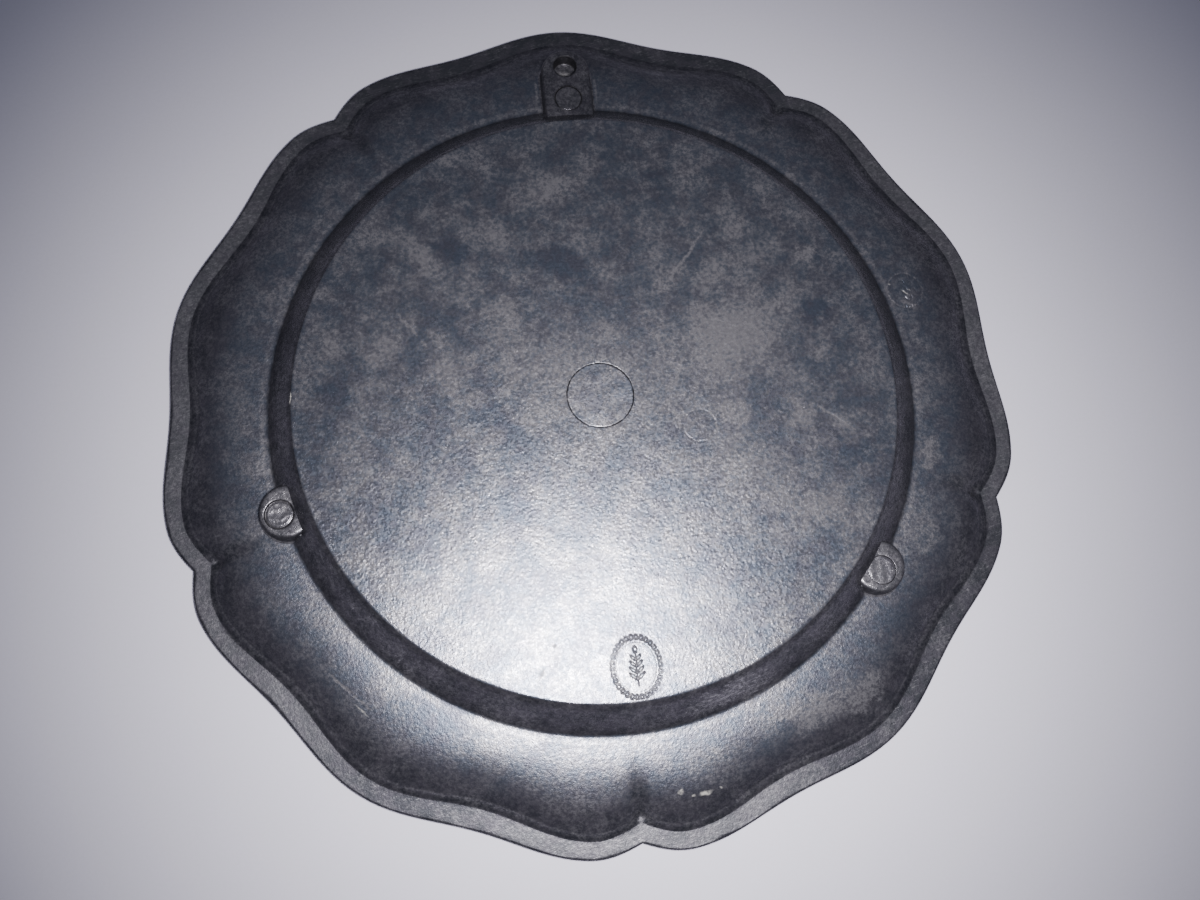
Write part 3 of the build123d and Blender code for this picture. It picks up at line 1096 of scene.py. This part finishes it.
def casting_material():
    """The plate's own pewter, with the colours and marks of each part of its back."""
    nodes, paleness, height = pewter_nodes("pewter_casting")
    rise, blend, patch, noise = nodes.rise, nodes.blend, nodes.patch, nodes.noise
    drift = nodes.add("TexNoise", {"Vector": nodes.place, "Scale": 0.25, "Detail": 5.0, "Roughness": 0.65})
    drift = nodes.vector("SUBTRACT", drift.outputs[1], (0.5, 0.5, 0.5))
    loose = nodes.vector("ADD", nodes.flat, nodes.vector("MULTIPLY", drift, (12, 12, 0)))
    close = nodes.vector("ADD", nodes.flat, nodes.vector("MULTIPLY", drift, (2.5, 2.5, 0)))
    paleness = nodes.add_patches(paleness, PALE_PATCHES, loose, 1.35)
    paleness = nodes.add_patches(paleness, DARK_PATCHES, loose, -1)

    # Where each part of the back is
    on_wall = rise(nodes.z, 17.05, 16.9) * rise(nodes.z, 8.9, 9.3)
    facing_up = rise(nodes.normal_z, 0.985, 0.998)
    on_band = facing_up * rise(nodes.z, 3.25, 3.1) * rise(nodes.radius, 106, 108)
    # Painted shade: the band is darkened towards the lower right and the lower left, where it catches less
    # of the lamp.
    painted_band_shade = patch(84, -80, 60, core=0.5) + patch(-57, -100, 32)
    painted_band_shade = on_band * nodes.math("MINIMUM", painted_band_shade, 1)
    north_band = on_band * patch(0, 130, 110, core=0.4)
    inside_band = rise(nodes.radius, 98, 102) * (1 - on_band)

    # Colour
    tint = blend(rise(nodes.radius, 98, 109), DARK_SLATE, PURPLE_BLACK)
    tint = blend(crease(nodes) * 0.7, tint, TARNISH_AND_SHADE)
    # Painted shade: the sloped wall is tinted dark.
    tint = blend(on_wall, tint, PAINTED_SHADE)
    tint = blend(on_band, tint, BAND_GREY)
    tint = blend(painted_band_shade * 0.75, tint, TARNISH_AND_SHADE)
    tint = blend(north_band * 0.6, tint, TARNISH_AND_SHADE)
    tint = blend(inside_band * rise(nodes.radius, 104, 109) * 0.35, tint, TARNISH_AND_SHADE)
    tint = blend(inside_band * rise(nodes.z, 3.66, 3.56) * 0.6, tint, TARNISH_AND_SHADE)

    # Wear, with painted highlights and painted shade
    brushed = nodes.scratches(15, 0.35, 9, 0.42, 11)
    foot_line = rise(abs(nodes.radius - 90.6), 1.1, 0.2) * rise(nodes.z, 9.0, 8.8)
    # The sloped wall is kept less pale, as part of its painted shade.
    paleness = paleness * rise(nodes.radius, 86, 110, 1.0, 0.35) * (1 - on_wall * 0.75)
    paleness = paleness + foot_line * 0.25 + on_band * (0.04 + brushed * 0.30)
    # Painted highlight: a faint pale line along the ledge's edge.
    painted_ledge_highlight = inside_band * rise(abs(nodes.z - 3.74), 0.10, 0.02)
    paleness = paleness + painted_ledge_highlight * 0.12 + north_band * -0.20 + painted_band_shade * -0.14
    for *shape, strength in WALL_WEAR:
        paleness = paleness + patch(*shape, loose) * on_wall * (0.2 + brushed) * (2.2 * strength)
    # Painted highlights: thin pale lines on the border along the hanging lug's feet, where its fillets
    # catch the lamp.
    for x in (-8.5, 9.1):
        paleness = paleness + patch(x, 95.5, 6, 0.5, 90) * 0.5
    crusty = rise(noise(0.9, 3, 0.7, seed=19), 0.30, 0.55, 0.35, 1.0)
    chalk_and_glow = nodes.most_spots(0.0, CHALK_SPOTS, close, crusty)
    broken = rise(noise(0.8, 2, 0.6, seed=20), 0.35, 0.6, 0.3, 1.2)
    for x, y, radius, strength in FAINT_RINGS:
        ring = nodes.ring(x, y, radius, 0.45) * broken
        height = height + ring * (-0.03 * strength)
        paleness = paleness + ring * (0.35 * strength)
    patchy = rise(noise(1.6, 3, 0.6, seed=17), 0.35, 0.6, 0, 1.6)
    for x, y, length, turn in LONG_SCRATCHES:
        scratch = patch(x, y, length, 0.5, turn, close, 0.3)
        paleness = paleness + scratch * patchy
        height = height + scratch * -0.02

    # Dirt
    dusty = rise(noise(2.5, 2, 0.5, seed=12), 0.35, 0.6)
    darkening = rise(abs(nodes.radius - 89.1), 0.7, 0.1) * dusty * 0.4
    sunk = rise(nodes.z, 17.06, 16.98) * rise(nodes.radius, 80.9, 80.4)
    darkening = nodes.most(nodes.most(darkening, sunk * 0.55), plug_seam(nodes))
    darkening = nodes.most_spots(darkening, DIRT_SPOTS, close)
    roughness = rise(nodes.radius, 86, 90, 0.285, 0.36) + on_band * 0.12
    metallic = METALLIC - (on_band * 0.10 + chalk_and_glow * METALLIC)
    return finish_pewter(nodes, paleness, height, tint, darkening, roughness, chalk_and_glow, metallic)


def boss_material():
    """The lug's and the pads' pewter: painted shade on the sides and in the nail hole, a dark lug, and a
    painted glow on the nail hole's floor.
    """
    nodes, paleness, height = pewter_nodes("pewter_boss")
    rise, blend = nodes.rise, nodes.blend
    scraped = nodes.scratches(*FILE_SCRATCHES)
    north = rise(nodes.y, 40, 70)
    # Painted shade: inside the nail hole the metal is tinted dark and kept from going pale.
    in_hole = rise(nodes.z, 12.7, 12.3) * nodes.patch(0.4, 101.3, 3.6, core=0.9)
    # Painted highlight: a pale, chalky, less metallic glow on the nail hole's floor, standing for the
    # lamp's light there.
    painted_hole_glow = rise(nodes.z, 9.6, 9.0) * nodes.patch(0.1, 99.5, 3.0, core=0.3)
    foot = rise(nodes.z, 9.5, 9.2)
    # Painted shade: the steep sides, found from the surface's tilt, are tinted dark, kept from going pale,
    # darkened further and made rougher.
    side = rise(nodes.normal_z, 0.97, 0.70) * (1 - foot)
    tint = blend(north, BAND_GREY, PURPLE_BLACK)
    tint = blend(north * 0.4, tint, TARNISH_AND_SHADE)
    tint = blend(side, tint, PAINTED_SHADE)
    tint = blend(in_hole * (1 - painted_hole_glow) * 0.7, tint, TARNISH_AND_SHADE)
    bare = rise(side, 0, 1, 1, 0.2) * rise(north, 0, 1, 1, 0.45)
    paleness = (paleness + 0.15 + scraped * 0.25) * bare * rise(in_hole, 0, 1, 1, 0.3)
    # Painted highlights: the nail hole's glow, and a paler foot where each boss's fillet catches the lamp.
    paleness = paleness + painted_hole_glow * 0.75 + foot * 0.25
    height = height * 0.8 + scraped * -0.006
    darkening = rise(nodes.noise(1.8, 2, 0.5, seed=14), 0.62, 0.80, 0, 0.4)
    darkening = nodes.most(darkening, side * 0.3)
    # Painted shade: dark rings on the nail hole's and the lug pin's lips dim their glints.
    for y, radius in ((101.3, 3.4), (90.8, 4.0)):
        darkening = nodes.most(darkening, nodes.ring(0.4, y, radius, 0.4) * 0.6)
    darkening = darkening * (1 - painted_hole_glow)
    metallic = METALLIC - painted_hole_glow * 0.5
    return finish_pewter(nodes, paleness, height, tint, darkening, 0.32 + side * 0.12, painted_hole_glow * 0.3, metallic)


def plug_material():
    """The plug's pewter, like the disc's, with dirt at its edge and in a few pits."""
    nodes, paleness, height = pewter_nodes("pewter_plug")
    scraped = nodes.scratches(*FILE_SCRATCHES)
    darkening = plug_seam(nodes)
    for x, y, length in ((-4.9, -7.9, 0.9), (4.5, -8.0, 1.0), (-3.5, -4.5, 2.2), (4.2, -3.0, 1.8)):
        spot = nodes.patch(x, y, length, 0.6 * length, 30, core=0.1)
        darkening = nodes.most(darkening, spot * (0.5 / length + 0.1))
    paleness = paleness + 0.12 + scraped * 0.2
    return finish_pewter(nodes, paleness, height + scraped * -0.006, DARK_SLATE, darkening, 0.32)


def pin_material():
    """The pins' pewter, darker in the lug than in the pads."""
    nodes, paleness, height = pewter_nodes("pewter_pin")
    scraped = nodes.scratches(*FILE_SCRATCHES)
    north = nodes.rise(nodes.y, 40, 70)
    tint = nodes.blend(north * 0.6, PIN_GREY, TARNISH_AND_SHADE)
    paleness = (paleness + 0.15 + scraped * 0.25) * nodes.rise(north, 0, 1, 1, 0.4)
    darkening = nodes.rise(nodes.noise(1.8, 2, 0.5, seed=14), 0.62, 0.80, 0, 0.5)
    return finish_pewter(nodes, paleness, height + scraped * -0.006, tint, darkening, 0.32)


def table_material():
    """A pale, faintly lavender board with a soft sheen-free surface."""
    nodes = Nodes("pale_table")
    fibre = nodes.noise(1.1, 3, 0.6, seed=22)
    share = nodes.rise(nodes.noise(90, 4, 0.5, seed=21), 0.3, 0.7, 0, 0.6)
    share = share + nodes.rise(fibre, 0.3, 0.7, 0, 0.4)
    nodes.join(nodes.surface.inputs["Base Color"], nodes.blend(share, *TABLE_COLOURS))
    nodes.join(nodes.surface.inputs["Roughness"], nodes.rise(fibre, 0.2, 0.8, 0.70, 0.85))
    nodes.surface.inputs["Specular IOR Level"].default_value = 0.2
    nodes.relief(fibre * 0.02)
    return nodes.material


# ---- floor, light, camera


def add_floor():
    mesh = bpy.data.meshes.new("table")
    corners = [(x * FLOOR_HALF, y * FLOOR_HALF, 0) for x, y in ((-1, -1), (1, -1), (1, 1), (-1, 1))]
    mesh.from_pydata(corners, [], [(0, 1, 2, 3)])
    mesh.materials.append(table_material())
    add_object("table", mesh)


def add_light():
    """One small bright lamp near the camera, and a dim even world."""
    data = bpy.data.lights.new("lamp", "AREA")
    data.shape = "DISK"
    data.size = LIGHT_SIZE
    data.spread = LIGHT_SPREAD
    data.energy = LIGHT_POWER
    data.color = LIGHT_COLOUR
    lamp = add_object("lamp", data)
    lamp.location = LIGHT_PLACE
    lamp.rotation_euler = LIGHT_AIM.to_track_quat("-Z", "Y").to_euler()
    lamp.visible_camera = False
    world = bpy.data.worlds.new("room")
    world.use_nodes = True
    world.node_tree.nodes["Background"].inputs["Color"].default_value = WORLD_GREY
    bpy.context.scene.world = world


def add_camera():
    data = bpy.data.cameras.new("camera")
    data.lens = CAMERA_LENS
    data.sensor_width = 36.0
    data.clip_start = 0.01
    camera = add_object("camera", data)
    pose = Matrix.Translation(CAMERA_PLACE)
    for angle, axis in CAMERA_TURNS:
        pose = pose @ Matrix.Rotation(math.radians(angle), 4, axis)
    camera.matrix_world = pose
    bpy.context.scene.camera = camera


# ---- everything together

plate_piece(casting_material())
boss_pewter = boss_material()
pin_pewter = pin_material()
plug_piece(plug_material())
lug_piece(boss_pewter)
for pad in PADS:
    pad_piece(pad, boss_pewter)
for pin in PINS:
    pin_piece(pin, pin_pewter)
add_floor()
add_light()
add_camera()
